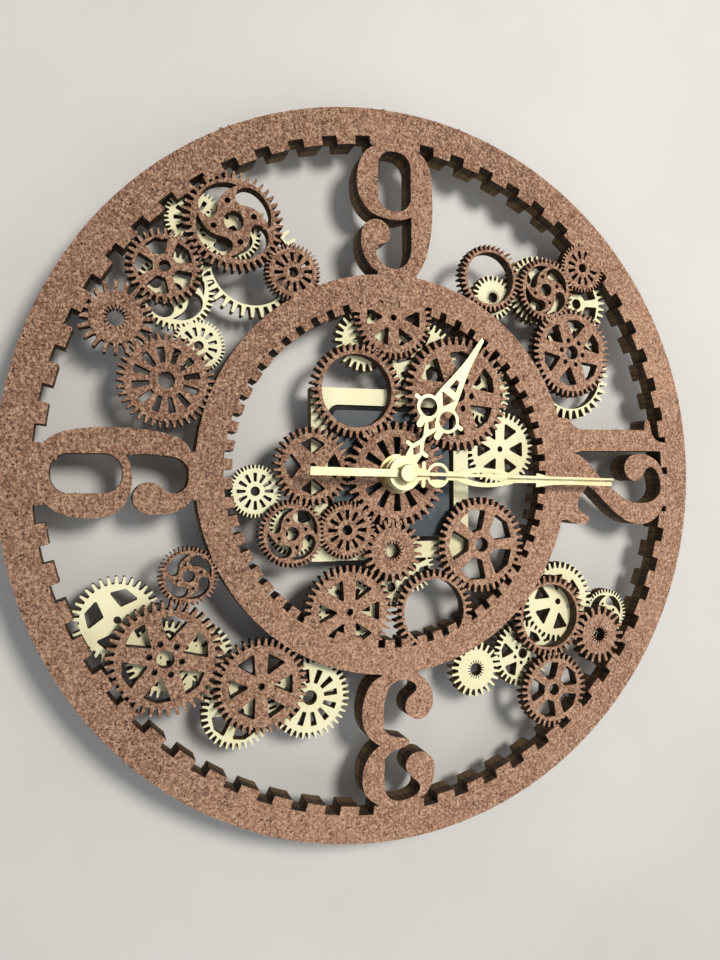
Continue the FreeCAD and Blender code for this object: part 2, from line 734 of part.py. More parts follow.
def level_drawing(body, name, lift):
    drawing = document.addObject("Sketcher::SketchObject", name)
    body.addObject(drawing)
    plane = next(item for item in body.Origin.OriginFeatures if item.Role == "XY_Plane")
    drawing.AttachmentSupport = (plane, [""])
    drawing.MapMode = "FlatFace"
    bind(drawing, {".AttachmentOffset.Base.z": lift})
    return drawing


def hold(drawing, index, point, x, y):
    """Keep one point of a drawing at formulas across and up."""
    for kind, axis, formula in (("DistanceX", -2, x), ("DistanceY", -1, y)):
        if formula == "0":
            drawing.addConstraint(Sketcher.Constraint("PointOnObject", index, point, axis))
        else:
            rule = Sketcher.Constraint(kind, -1, 1, index, point, size(formula))
            number = drawing.addConstraint(rule)
            drawing.setExpression(f"Constraints[{number}]", with_sheet(formula))


def draw_circle(drawing, radius, x="0", y="0"):
    circle = Part.Circle(Vector(size(x), size(y), 0), Vector(0, 0, 1), size(radius))
    index = drawing.addGeometry(circle, False)
    hold(drawing, index, 3, x, y)
    number = drawing.addConstraint(Sketcher.Constraint("Radius", index, size(radius)))
    drawing.setExpression(f"Constraints[{number}]", with_sheet(radius))


def draw_box(drawing, left, right, bottom, top):
    corners = [(left, bottom), (right, bottom), (right, top), (left, top)]
    first = drawing.GeometryCount
    for here, there in zip(corners, corners[1:] + corners[:1]):
        ends = [Vector(size(x), size(y), 0) for x, y in (here, there)]
        drawing.addGeometry(Part.LineSegment(*ends), False)
    for k in range(4):
        following = first + (k + 1) % 4
        drawing.addConstraint(Sketcher.Constraint("Coincident", first + k, 2, following, 1))
        kind = "Vertical" if k % 2 else "Horizontal"
        drawing.addConstraint(Sketcher.Constraint(kind, first + k))
    hold(drawing, first, 1, left, bottom)
    hold(drawing, first + 2, 1, right, top)


def raised(body, drawing, height):
    item = body.newObject("PartDesign::Pad", f"{drawing.Name}_raised")
    item.Profile = drawing
    bind(item, {"Length": height})
    document.recompute()
    return item


def sunk(body, drawing, depth):
    """Cut a drawing upward into the body, and make sure that it took something away."""
    before = body.Shape.Volume
    item = body.newObject("PartDesign::Pocket", f"{drawing.Name}_sunk")
    item.Profile = drawing
    item.Reversed = True
    bind(item, {"Length": depth})
    document.recompute()
    if body.Shape.Volume >= before:
        raise ValueError(f"{drawing.Name} cuts nothing")
    return item


def round_edges(body, base, radius, chosen):
    """Round the edges of the last feature that a test picks."""
    names = [f"Edge{k}" for k, edge in enumerate(base.Shape.Edges, start=1) if chosen(edge)]
    item = body.newObject("PartDesign::Fillet", f"{base.Name}_round")
    item.Base = (base, names)
    bind(item, {"Radius": radius})
    document.recompute()
    return item


def upright(edge):
    box = edge.BoundBox
    return box.ZLength > box.XLength + box.YLength


# Places of the movement's arbors.

THIRD_X = "third_reach * cos(third_degrees * 1 deg)"
THIRD_Y = "third_reach * sin(third_degrees * 1 deg)"
STEP_X = "intermediate_reach * cos(intermediate_degrees * 1 deg)"
STEP_Y = "intermediate_reach * sin(intermediate_degrees * 1 deg)"
ROTOR_X = f"{STEP_X} + rotor_reach * cos(rotor_degrees * 1 deg)"
ROTOR_Y = f"{STEP_Y} + rotor_reach * sin(rotor_degrees * 1 deg)"
SETTING_X = "- setting_reach"
INNER = "movement_width / 2 - case_wall"
CEILING = "movement_depth - case_front_wall"

# Case: a moulded box open at the back, with a wall between the battery and the wheels,
# the hole for the bush and two blind sockets for arbors under its front wall.
case = document.addObject("PartDesign::Body", "case")
drawing = level_drawing(case, "case_outside", "cover_thickness")
draw_box(drawing, "- movement_width / 2", "movement_width / 2", "- movement_width / 2",
         "movement_width / 2")
solid = raised(case, drawing, "movement_depth - cover_thickness")
round_edges(case, solid, "movement_corner", upright)
drawing = level_drawing(case, "case_room", "cover_thickness")
draw_box(drawing, f"- ( {INNER} )", INNER, f"- ( {INNER} )", INNER)
sunk(case, drawing, f"{CEILING} - cover_thickness")
drawing = level_drawing(case, "case_bay_wall", "cover_thickness")
draw_box(drawing, f"- ( {INNER} )", INNER, "- bay_wall_low", "bay_wall - bay_wall_low")
raised(case, drawing, f"{CEILING} - cover_thickness")
for name, radius, depth, x, y in (
        ("setting", "setting_arbor_radius", "setting_socket_depth", SETTING_X, "0"),
        ("third", "small_arbor_radius", "socket_depth", THIRD_X, THIRD_Y)):
    drawing = level_drawing(case, f"case_{name}_boss", f"{CEILING} - {depth}")
    draw_circle(drawing, f"{radius} + running_gap + socket_wall", x, y)
    raised(case, drawing, depth)
    drawing = level_drawing(case, f"case_{name}_bore", f"{CEILING} - {depth}")
    draw_circle(drawing, f"{radius} + running_gap", x, y)
    sunk(case, drawing, f"{depth} + case_front_wall - socket_floor")
drawing = level_drawing(case, "case_bush_hole", CEILING)
draw_circle(drawing, "bush_radius + fixing_gap")
sunk(case, drawing, "case_front_wall + cut_overrun")
node(case, "movement_case")

# Cover: the flat back, with the battery's opening, a cup sunk in for the setting knob,
# sockets for three arbors and low rests for the coil and the circuit board.
cover = document.addObject("PartDesign::Body", "cover")
drawing = level_drawing(cover, "cover_outside", "0")
draw_box(drawing, "- movement_width / 2", "movement_width / 2", "- movement_width / 2",
         "movement_width / 2")
solid = raised(cover, drawing, "cover_thickness")
round_edges(cover, solid, "movement_corner", upright)
drawing = level_drawing(cover, "cover_cup_wall", "0")
draw_circle(drawing, "knob_radius + cup_gap + cup_wall", SETTING_X)
raised(cover, drawing, "knob_recess + knob_height + cup_gap + cup_floor")
for name, radius, height, x, y in (
        ("second", "second_arbor_radius", "second_socket_depth", "0", "0"),
        ("step", "small_arbor_radius", "socket_depth", STEP_X, STEP_Y),
        ("rotor", "rotor_arbor_radius", "socket_depth / 2", ROTOR_X, ROTOR_Y)):
    drawing = level_drawing(cover, f"cover_{name}_boss", "0")
    draw_circle(drawing, f"{radius} + running_gap + socket_wall", x, y)
    raised(cover, drawing, f"cover_thickness + {height}")
    drawing = level_drawing(cover, f"cover_{name}_bore", "socket_floor")
    draw_circle(drawing, f"{radius} + running_gap", x, y)
    sunk(cover, drawing, f"cover_thickness + {height} - socket_floor")
coil_rests = [("- stator_left + stator_arm / 2", "coil_up"),
              ("- stator_left + stator_arm / 2", ROTOR_Y),
              ("- stator_inner + stator_arm / 2", "coil_up")]
for k, (x, y) in enumerate(coil_rests):
    drawing = level_drawing(cover, f"cover_coil_rest_{k}", "0")
    draw_circle(drawing, "rest_radius", x, y)
    raised(cover, drawing, "stator_low")
for k, (across, up) in enumerate([(0, 0), (1, 0), (1, 1), (0, 1)]):
    drawing = level_drawing(cover, f"cover_board_rest_{k}", "0")
    x = f"board_left + 2 * rest_radius + {across} * ( board_length - 4 * rest_radius )"
    y = f"board_bottom + 2 * rest_radius + {up} * ( board_width - 4 * rest_radius )"
    draw_circle(drawing, "rest_radius", x, y)
    raised(cover, drawing, "board_low")
drawing = level_drawing(cover, "cover_battery_opening", "0")
draw_box(drawing, "- ( battery_length / 2 + battery_gap )", "battery_length / 2 + battery_gap",
         "- battery_back - battery_radius - battery_gap",
         "- battery_back + battery_radius + battery_gap")
sunk(cover, drawing, "cover_thickness")
drawing = level_drawing(cover, "cover_cup", "0")
draw_circle(drawing, "knob_radius + cup_gap", SETTING_X)
sunk(cover, drawing, "knob_recess + knob_height + cup_gap")
drawing = level_drawing(cover, "cover_cup_bore", "0")
draw_circle(drawing, "setting_arbor_radius + running_gap", SETTING_X)
sunk(cover, drawing, "knob_recess + knob_height + cup_gap + cup_floor + cut_overrun")
node(cover, "movement_cover")

# Battery: one round cell lying across the bottom of the case.
BATTERY_AXIS = "battery_low + battery_radius"
cell = lying_cylinder("cell", "battery_radius", "- battery_length / 2",
                      "battery_length - battery_nub_height", "- battery_back", BATTERY_AXIS)
nub = lying_cylinder("cell_nub", "battery_nub_radius", "battery_length / 2 - battery_nub_height",
                     "battery_nub_height", "- battery_back", BATTERY_AXIS)
node(fused("cell_and_nub", [cell, nub]), "battery")

# Contacts: thin plates on the case's ends, one with a bump and one with a spring cone.
CONTACT_ROOM = f"{INNER} - contact_thickness - battery_length / 2"
leaf = block("plus_leaf", f"{INNER} - contact_thickness", "- battery_back - contact_width / 2",
             f"{BATTERY_AXIS} - contact_height / 2", "contact_thickness", "contact_width",
             "contact_height")
bump = lying_cylinder("plus_bump", "contact_bump_radius", "battery_length / 2", CONTACT_ROOM,
                      "- battery_back", BATTERY_AXIS)
node(fused("plus_contact", [leaf, bump]), "contact_plus")
leaf = block("minus_leaf", f"- ( {INNER} )", "- battery_back - contact_width / 2",
             f"{BATTERY_AXIS} - contact_height / 2", "contact_thickness", "contact_width",
             "contact_height")
spring = document.addObject("Part::Cone", "minus_spring")
bind(spring, {"Radius1": "spring_radius", "Radius2": "contact_bump_radius", "Height": CONTACT_ROOM})
spring.Placement = Placement(Vector(), Rotation(Vector(0, 1, 0), 90))
place(spring, f"- ( {INNER} ) + contact_thickness", "- battery_back", BATTERY_AXIS)
node(fused("minus_contact", [leaf, spring]), "contact_minus")

# Bush: the tube that carries the boards, with a flange under the case's front wall.
BUSH_TOP = f"{DIAL} + bush_rise"
shank = cylinder("bush_shank", "bush_radius", f"{CEILING} - bush_flange_thickness",
                 f"{BUSH_TOP} - ( {CEILING} ) + bush_flange_thickness")
flange = cylinder("bush_flange", "bush_flange_radius", f"{CEILING} - bush_flange_thickness",
                  "bush_flange_thickness")
bore = cylinder("bush_bore", "hour_tube_radius + bush_bore_gap",
                f"{CEILING} - bush_flange_thickness - cut_overrun",
                "movement_depth + bush_rise + cut_overrun * 2")
node(cut("bush", fused("bush_body", [shank, flange]), [bore]), "threaded_bush")

# Washer and nut: they clamp the boards on the bush.
ring = cylinder("washer_disc", "washer_radius", DIAL, "washer_thickness")
bore = cylinder("washer_hole", "bush_radius + fixing_gap", f"{DIAL} - cut_overrun",
                "washer_thickness + 2 * cut_overrun")
node(cut("washer_ring", ring, [bore]), "washer")
hexagon = document.addObject("Part::Prism", "nut_hexagon")
hexagon.Polygon = 6
bind(hexagon, {"Circumradius": "nut_width / 2 / cos(30 deg)", "Height": "nut_thickness"})
place(hexagon, z=f"{DIAL} + washer_thickness")
bore = cylinder("nut_hole", "bush_radius + fixing_gap", DIAL, "nut_thickness + 2 * cut_overrun")
node(cut("nut_ring", hexagon, [bore]), "nut")

# Hanger: a bent steel strip on the case's top side, behind the back board.
HANGER_FRONT = f"{BACK_LOW} - hanger_gap"
foot = block("hanger_foot_strip", "- hanger_width / 2", "movement_width / 2",
             f"{HANGER_FRONT} - hanger_thickness", "hanger_width", "hanger_thickness", "hanger_foot")
tongue = block("hanger_tongue", "- hanger_width / 2", "movement_width / 2",
               f"{HANGER_FRONT} - hanger_thickness", "hanger_width", "hanger_rise",
               "hanger_thickness")
bore = cylinder("hanger_hole", "hanger_hole_radius",
                f"{HANGER_FRONT} - hanger_thickness - cut_overrun",
                "hanger_thickness + 2 * cut_overrun", "0",
                "movement_width / 2 + hanger_rise - hanger_hole_edge")
node(cut("hanger_strip", fused("hanger_body", [foot, tongue]), [bore]), "hanger")


# Toothed wheels. Teeth are low and thin, so that a train of them runs free.

ADDENDUM_SHARE = 0.7
DEDENDUM_SHARE = 1.1
WHEEL_ROOT_HALF_SHARE = 0.22
WHEEL_TIP_HALF_SHARE = 0.10


def toothed(name, reach, teeth, mate, turn, low, thickness, x="0", y="0"):
    """A wheel that runs with its mate at a given distance between the two arbors."""
    count = int(size(teeth))
    module = 2 * size(reach) / (count + size(mate))
    tip = module * (count / 2 + ADDENDUM_SHARE)
    depth = module * (ADDENDUM_SHARE + DEDENDUM_SHARE)
    face = toothed_disc(tip, count, (0, 0), turn, depth, WHEEL_ROOT_HALF_SHARE, WHEEL_TIP_HALF_SHARE)
    return plate(name, face, low, thickness, x, y)


def meshed(turn, teeth, mate, direction):
    """The mate's turn that sets one of its gaps on a tooth in that direction."""
    phase = (direction - turn) * size(teeth) / 360
    return direction + 180 - (0.5 - phase) * 360 / size(mate)


def level(number):
    return f"first_wheel_low + {number} * level_step"


def pinion_low(number):
    return f"{level(number)} - pinion_drop"


third_way = size("third_degrees")
step_way = size("intermediate_degrees")
rotor_way = size("rotor_degrees")

# Rotor: a round magnet on a thin arbor with a six-leaved pinion.
arbor = cylinder("rotor_arbor", "rotor_arbor_radius", "socket_floor + socket_end",
                 f"{pinion_low(0)} + pinion_height - socket_floor - socket_end", ROTOR_X, ROTOR_Y)
magnet = cylinder("rotor_magnet", "magnet_radius", "magnet_low", "magnet_height", ROTOR_X, ROTOR_Y)
turn = meshed(0, "intermediate_wheel_teeth", "rotor_pinion_teeth", rotor_way)
leaves = toothed("rotor_pinion", "rotor_reach", "rotor_pinion_teeth", "intermediate_wheel_teeth",
                 turn, pinion_low(0), "pinion_height", ROTOR_X, ROTOR_Y)
node(fused("rotor_whole", [arbor, magnet, leaves]), "rotor")

# Intermediate wheel between the rotor and the second wheel.
arbor = cylinder("step_arbor", "small_arbor_radius", "socket_floor + socket_end",
                 f"{pinion_low(1)} + pinion_height - socket_floor - socket_end", STEP_X, STEP_Y)
large = toothed("step_wheel", "rotor_reach", "intermediate_wheel_teeth", "rotor_pinion_teeth", 0,
                level(0), "wheel_thickness", STEP_X, STEP_Y)
turn = meshed(0, "second_wheel_teeth", "intermediate_pinion_teeth", step_way)
small = toothed("step_pinion", "intermediate_reach", "intermediate_pinion_teeth",
                "second_wheel_teeth", turn, pinion_low(1), "pinion_height", STEP_X, STEP_Y)
node(fused("step_whole", [arbor, large, small]), "intermediate_wheel")

# Second wheel: its long arbor runs up through the two tubes to the second hand.
SECOND_TOP = f"{DIAL} + second_hand_rise + hand_thickness"
arbor = cylinder("second_arbor", "second_arbor_radius", "socket_floor + socket_end",
                 f"{SECOND_TOP} - socket_floor - socket_end")
large = toothed("second_large", "intermediate_reach", "second_wheel_teeth",
                "intermediate_pinion_teeth", 0, level(1), "wheel_thickness")
small = toothed("second_small", "third_reach", "second_pinion_teeth", "third_wheel_teeth", 0,
                pinion_low(2), "pinion_height")
node(fused("second_whole", [arbor, large, small]), "second_wheel")

# Third wheel, hung in the case's front wall.
THIRD_TOP = f"{CEILING} + case_front_wall - socket_floor - socket_end"
arbor = cylinder("third_arbor", "small_arbor_radius", level(2), f"{THIRD_TOP} - ( {level(2)} )",
                 THIRD_X, THIRD_Y)
turn = meshed(0, "second_pinion_teeth", "third_wheel_teeth", third_way)
large = toothed("third_large", "third_reach", "third_wheel_teeth", "second_pinion_teeth", turn,
                level(2), "wheel_thickness", THIRD_X, THIRD_Y)
small = toothed("third_small", "third_reach", "third_pinion_teeth", "centre_wheel_teeth", 0,
                pinion_low(3), "pinion_height", THIRD_X, THIRD_Y)
node(fused("third_whole", [arbor, large, small]), "third_wheel")

# Centre wheel: it rides on the minute tube with friction.
turn = meshed(0, "third_pinion_teeth", "centre_wheel_teeth", third_way + 180)
large = toothed("centre_large", "third_reach", "centre_wheel_teeth", "third_pinion_teeth", turn,
                level(3), "wheel_thickness")
bore = cylinder("centre_bore", "minute_tube_radius + running_gap", pinion_low(3), "pinion_height")
node(cut("centre_ring", large, [bore]), "centre_wheel")

# Minute tube with its pinion and the collar of the friction clutch.
CLUTCH_LOW = f"{level(3)} - clutch_gap - clutch_thickness"
MINUTE_TOP = f"{DIAL} + minute_hand_rise + hand_thickness + tube_end"
tube = cylinder("minute_tube", "minute_tube_radius", CLUTCH_LOW, f"{MINUTE_TOP} - ( {CLUTCH_LOW} )")
collar = cylinder("clutch_collar", "clutch_radius", CLUTCH_LOW, "clutch_thickness")
small = toothed("minute_small", "setting_reach", "minute_pinion_teeth", "setting_wheel_teeth", 0,
                pinion_low(4), "pinion_height")
bore = cylinder("minute_bore", "second_arbor_radius + running_gap", f"{CLUTCH_LOW} - cut_overrun",
                f"{MINUTE_TOP} - ( {CLUTCH_LOW} ) + 2 * cut_overrun")
node(cut("minute_whole", fused("minute_body", [tube, collar, small]), [bore]), "minute_pinion")

# Setting wheel: it links the minute and hour tubes and carries the knob.
SETTING_LOW = "knob_recess + knob_face"
SETTING_TOP = f"{CEILING} + case_front_wall - socket_floor - socket_end"
arbor = cylinder("setting_arbor", "setting_arbor_radius", SETTING_LOW,
                 f"{SETTING_TOP} - ( {SETTING_LOW} )", SETTING_X)
turn = meshed(0, "minute_pinion_teeth", "setting_wheel_teeth", 180)
large = toothed("setting_large", "setting_reach", "setting_wheel_teeth", "minute_pinion_teeth",
                turn, level(4), "wheel_thickness", SETTING_X)
small = toothed("setting_small", "setting_reach", "setting_pinion_teeth", "hour_wheel_teeth", 0,
                pinion_low(5), "pinion_height", SETTING_X)
node(fused("setting_whole", [arbor, large, small]), "setting_wheel")

# Setting knob: pressed on the setting arbor, with small nicks round its edge.
knob = document.addObject("PartDesign::Body", "knob")
place(knob, SETTING_X, "0", "knob_recess")
drawing = level_drawing(knob, "knob_disc", "0")
draw_circle(drawing, "knob_radius")
raised(knob, drawing, "knob_height")
drawing = level_drawing(knob, "knob_bore", "knob_face")
draw_circle(drawing, "setting_arbor_radius")
sunk(knob, drawing, "knob_height - knob_face")
drawing = level_drawing(knob, "knob_nick", "0")
draw_box(drawing, "knob_radius - knob_rib_depth", "knob_radius + knob_rib_depth",
         "- knob_rib_width / 2", "knob_rib_width / 2")
nick = sunk(knob, drawing, "knob_height")
nicks = knob.newObject("PartDesign::PolarPattern", "knob_nicks")
nicks.Originals = [nick]
nicks.Axis = (next(item for item in knob.Origin.OriginFeatures if item.Role == "Z_Axis"), [""])
bind(nicks, {"Occurrences": "knob_rib_count"})
knob.Tip = nicks
node(knob, "setting_knob")

# Hour wheel with the outer tube.
HOUR_TOP = f"{DIAL} + hour_hand_rise + hand_thickness + tube_end"
tube = cylinder("hour_tube", "hour_tube_radius", level(5), f"{HOUR_TOP} - ( {level(5)} )")
turn = meshed(0, "setting_pinion_teeth", "hour_wheel_teeth", 0)
large = toothed("hour_large", "setting_reach", "hour_wheel_teeth", "setting_pinion_teeth", turn,
                level(5), "wheel_thickness")
bore = cylinder("hour_bore", "minute_tube_radius + running_gap", f"{level(5)} - cut_overrun",
                f"{HOUR_TOP} - ( {level(5)} ) + 2 * cut_overrun")
node(cut("hour_whole", fused("hour_body", [tube, large]), [bore]), "hour_wheel")

# Stator: a flat iron frame that runs through the coil and round the rotor.
left = -size("stator_left")
inner = -size("stator_inner")
arm = size("stator_arm")
coil_up = size("coil_up")
half_core = size("core_width") / 2
rotor_x = size(ROTOR_X)
rotor_y = size(ROTOR_Y)
room = size("magnet_radius + stator_air_gap")
legs = [
    polygon([(left, rotor_y - arm / 2), (rotor_x, rotor_y - arm / 2), (rotor_x, rotor_y + arm / 2),
             (left, rotor_y + arm / 2)]),
    polygon([(left, rotor_y - arm / 2), (left + arm, rotor_y - arm / 2),
             (left + arm, coil_up + arm / 2), (left, coil_up + arm / 2)]),
    polygon([(inner, rotor_y), (inner + arm, rotor_y), (inner + arm, coil_up + arm / 2),
             (inner, coil_up + arm / 2)]),
    polygon([(left, coil_up - half_core), (inner + arm, coil_up - half_core),
             (inner + arm, coil_up + half_core), (left, coil_up + half_core)]),
    disc(room + size("stator_rim"), (rotor_x, rotor_y)),
]
iron = without(joined(legs), [disc(room, (rotor_x, rotor_y))])
node(plate("stator_plate", iron, "stator_low", "stator_thickness"), "stator")

# Coil: a moulded bobbin on the stator's bar and its copper winding.
CORE_AXIS = "stator_low + stator_thickness / 2"
barrel = lying_cylinder("bobbin_barrel", "barrel_radius", "- bobbin_left", "bobbin_length",
                        "coil_up", CORE_AXIS)
ends = [lying_cylinder(f"bobbin_end_{k}", "bobbin_flange_radius", left_end, "bobbin_wall",
                       "coil_up", CORE_AXIS)
        for k, left_end in enumerate(["- bobbin_left", "bobbin_length - bobbin_left - bobbin_wall"])]
bore = block("bobbin_bore", "- bobbin_left - cut_overrun", "coil_up - core_width / 2 - core_gap",
             "stator_low - core_gap", "bobbin_length + 2 * cut_overrun",
             "core_width + 2 * core_gap", "stator_thickness + 2 * core_gap")
node(cut("bobbin", fused("bobbin_body", [barrel] + ends), [bore]), "coil_bobbin")
turns = lying_cylinder("winding_outside", "winding_radius", "- bobbin_left + bobbin_wall",
                       "bobbin_length - 2 * bobbin_wall", "coil_up", CORE_AXIS)
bore = lying_cylinder("winding_inside", "barrel_radius", "- bobbin_left - cut_overrun",
                      "bobbin_length + 2 * cut_overrun", "coil_up", CORE_AXIS)
node(cut("winding", turns, [bore]), "coil_winding")

# Circuit board with its blob of resin.
sheet_of_board = block("board_sheet", "board_left", "board_bottom", "board_low", "board_length",
                       "board_width", "board_thickness")
chip = block("board_chip", "board_left + board_length / 2 - chip_size / 2",
             "board_bottom + board_width / 2 - chip_size / 2", "board_low + board_thickness",
             "chip_size", "chip_size", "chip_height")
node(fused("board_whole", [sheet_of_board, chip]), "circuit_board")


# Hands, as shares of the outer radius, drawn pointing to 12 and then turned.

def symmetric(side, scale):
    """A face alike on both sides of the upright axis, from its right-hand edge."""
    other = [(-x, y) for x, y in reversed(side)]
    runs = [side, [side[-1], other[0]], other, [other[-1], side[0]]]
    return outline([run for run in runs if run[0] != run[-1]], scale)


def straight(points, scale):
    return polygon([(x * scale, y * scale) for x, y in points])


def pill(start, end, radius, scale):
    """A bar with round ends."""
    a = Vector(*start, 0) * scale
    b = Vector(*end, 0) * scale
    along = (b - a).normalize() * (radius * scale)
    side = Vector(-along.y, along.x, 0)
    edges = [Part.LineSegment(a - side, b - side).toShape(),
             Part.Arc(b - side, b + along, b + side).toShape(),
             Part.LineSegment(b + side, a + side).toShape(),
             Part.Arc(a + side, a - along, a - side).toShape()]
    return Part.Face(Part.Wire(edges))


def hoop(share_x, share_y, radius_share, scale):
    return disc(radius_share * scale, (share_x * scale, share_y * scale))


def hand(label, pieces, windows, turn, rise, tube):
    """Cut a hand from sheet, turn it to its hour and press it on its tube with a collar."""
    face = without(joined(pieces), windows)
    face.rotate(Vector(0, 0, 0), Vector(0, 0, 1), -size(turn))
    low = f"{DIAL} + {rise}"
    sheet_metal = plate(f"{label}_sheet", face, low, "hand_thickness")
    collar = cylinder(f"{label}_collar", f"{tube} + hand_collar_wall", f"{low} - hand_collar_height",
                      "hand_collar_height")
    bore = cylinder(f"{label}_bore", tube, f"{low} - hand_collar_height - cut_overrun",
                    "hand_collar_height + hand_thickness + 2 * cut_overrun")
    return node(cut(f"{label}_whole", fused(f"{label}_body", [sheet_metal, collar]), [bore]), label)


scale = size("outer_radius")

# Hour hand: a hub, a waisted neck with beads, two rings and a pierced spear.
HOUR_BLADE_SHARES = [(0.034, 0.205), (0.034, 0.24), (0.031, 0.262), (0.023, 0.30), (0.0155, 0.34),
                     (0.010, 0.38), (0.0075, 0.42), (0.005, 0.452)]
HOUR_NECK_SHARES = [(0.019, 0.045), (0.020, 0.06), (0.018, 0.085), (0.008, 0.105), (0.0065, 0.128)]
HOUR_BLOCK_SHARES = [(0.0065, 0.125), (0.030, 0.175), (-0.030, 0.175), (-0.0065, 0.125)]
HOUR_DIAMOND_SHARES = [(0.0, 0.178), (0.013, 0.16), (0.0, 0.143), (-0.013, 0.16)]
HOUR_SLOT_SHARES = [(0.012, 0.277), (0.006, 0.309), (-0.006, 0.309), (-0.012, 0.277)]
HOUR_HEART_SHARES = [(0.024, 0.257), (0.0, 0.221), (-0.024, 0.257)]
HOUR_TEAR_SHARES = [(0.0, 0.096), (0.0115, 0.075), (0.0, 0.060), (-0.0115, 0.075)]
HOUR_RING_SHARES = {"across": 0.034, "up": 0.197, "outer": 0.035, "inner": 0.026}
HOUR_BEAD_SHARES = {"across": 0.031, "low": 0.143, "high": 0.172, "radius": 0.0095}
HOUR_NUB_SHARES = {"inner": 0.064, "outer": 0.080, "up": 0.202, "radius": 0.006}
HOUR_BAR_SHARES = {"half": 0.033, "up": 0.080, "radius": 0.0055}
HOUR_HUB_SHARE = 0.0485

pieces = [symmetric(HOUR_BLADE_SHARES, scale), symmetric(HOUR_NECK_SHARES, scale),
          straight(HOUR_BLOCK_SHARES, scale), hoop(0, 0, HOUR_HUB_SHARE, scale)]
windows = [straight(HOUR_DIAMOND_SHARES, scale), straight(HOUR_SLOT_SHARES, scale),
           straight(HOUR_HEART_SHARES, scale), straight(HOUR_TEAR_SHARES, scale)]
bar = HOUR_BAR_SHARES
pieces.append(pill((-bar["half"], bar["up"]), (bar["half"], bar["up"]), bar["radius"], scale))
for side in (-1, 1):
    row = HOUR_RING_SHARES
    pieces.append(hoop(side * row["across"], row["up"], row["outer"], scale))
    windows.append(hoop(side * row["across"], row["up"], row["inner"], scale))
    row = HOUR_BEAD_SHARES
    pieces.append(pill((side * row["across"], row["low"]), (side * row["across"], row["high"]),
                       row["radius"], scale))
    row = HOUR_NUB_SHARES
    pieces.append(pill((side * row["inner"], row["up"]), (side * row["outer"], row["up"]),
                       row["radius"], scale))
hand("hour_hand", pieces, windows, "hour_hand_degrees", "hour_hand_rise", "hour_tube_radius")

# Minute hand: a hub with a cross bar, one ring, an open leaf and a barbed tip.
MINUTE_BASE_SHARES = [(0.018, 0.035), (0.012, 0.07)]
MINUTE_NECK_SHARES = [(0.012, 0.126), (0.012, 0.15)]
MINUTE_LEAF_SHARES = [(0.004, 0.14), (0.024, 0.20), (0.026, 0.26), (0.012, 0.335)]
MINUTE_OPENING_SHARES = [(0.0, 0.17), (0.013, 0.22), (0.012, 0.28), (0.0, 0.32)]
MINUTE_BLADE_SHARES = [(0.0112, 0.325), (0.0095, 0.37), (0.0075, 0.415)]
MINUTE_BARB_SHARES = [(0.020, 0.409), (0.0165, 0.43), (0.012, 0.46), (0.009, 0.50), (0.0075, 0.60),
                      (0.0065, 0.665)]
MINUTE_TIP_SHARES = {"up": 0.664, "radius": 0.0065}
MINUTE_BAR_SHARES = {"half": 0.030, "up": 0.055, "radius": 0.0055}
MINUTE_RING_SHARES = {"up": 0.098, "outer": 0.034, "inner": 0.026}
MINUTE_BEAD_SHARES = {"across": 0.023, "low": 0.085, "high": 0.112, "radius": 0.0105}
MINUTE_HUB_SHARE = 0.045

pieces = [symmetric(row, scale) for row in (MINUTE_BASE_SHARES, MINUTE_NECK_SHARES, MINUTE_LEAF_SHARES,
                                            MINUTE_BLADE_SHARES, MINUTE_BARB_SHARES)]
row = MINUTE_RING_SHARES
pieces += [hoop(0, 0, MINUTE_HUB_SHARE, scale), hoop(0, row["up"], row["outer"], scale)]
windows = [symmetric(MINUTE_OPENING_SHARES, scale)]
tip = MINUTE_TIP_SHARES
pieces.append(hoop(0, tip["up"], tip["radius"], scale))
bar = MINUTE_BAR_SHARES
pieces.append(pill((-bar["half"], bar["up"]), (bar["half"], bar["up"]), bar["radius"], scale))
bead = MINUTE_BEAD_SHARES
opening = without(hoop(0, row["up"], row["inner"], scale),
                  [pill((bead["across"], bead["low"]), (bead["across"], bead["high"]),
                        bead["radius"], scale)])
windows.append(opening)
hand("minute_hand", pieces, windows, "minute_hand_degrees", "minute_hand_rise", "minute_tube_radius")

# Second hand: a thin needle with a long square-ended tail.
NEEDLE_SHARES = [(0.0045, 0.0), (0.003, 0.664)]
TAIL_SHARES = [(0.011, -0.267), (0.0095, 0.0)]
SECOND_HUB_SHARE = 0.02
pieces = [symmetric(NEEDLE_SHARES, scale), symmetric(TAIL_SHARES, scale),
          hoop(0, 0, SECOND_HUB_SHARE, scale)]
hand("second_hand", pieces, [], "second_hand_degrees", "second_hand_rise", "second_arbor_radius")

# Cap: a round button that hides the end of the second arbor.
cap = document.addObject("PartDesign::Body", "cap")
place(cap, z=SECOND_TOP)
drawing = level_drawing(cap, "cap_disc", "0")
draw_circle(drawing, "cap_radius")
solid = raised(cap, drawing, "cap_height")
round_edges(cap, solid, "cap_round", lambda edge: edge.BoundBox.ZMin > size("cap_height / 2"))
node(cap, "second_cap")

# Every object and shape is checked before the sub-parts are written out.
document.recompute()
for item in document.Objects:
    if "Invalid" in item.State or "Error" in item.State:
        raise ValueError(f"{item.Label} has the state {item.State}")
os.makedirs("parts", exist_ok=True)
for item in nodes:
    if item.Shape.isNull() or not item.Shape.isValid() or not item.Shape.Solids:
        raise ValueError(f"{item.Label} has no good solid")
    item.Shape.exportStep(f"parts/{item.Label}.step")
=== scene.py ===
import math
import random
from itertools import accumulate

import bmesh
import bpy
from mathutils import Matrix, Vector


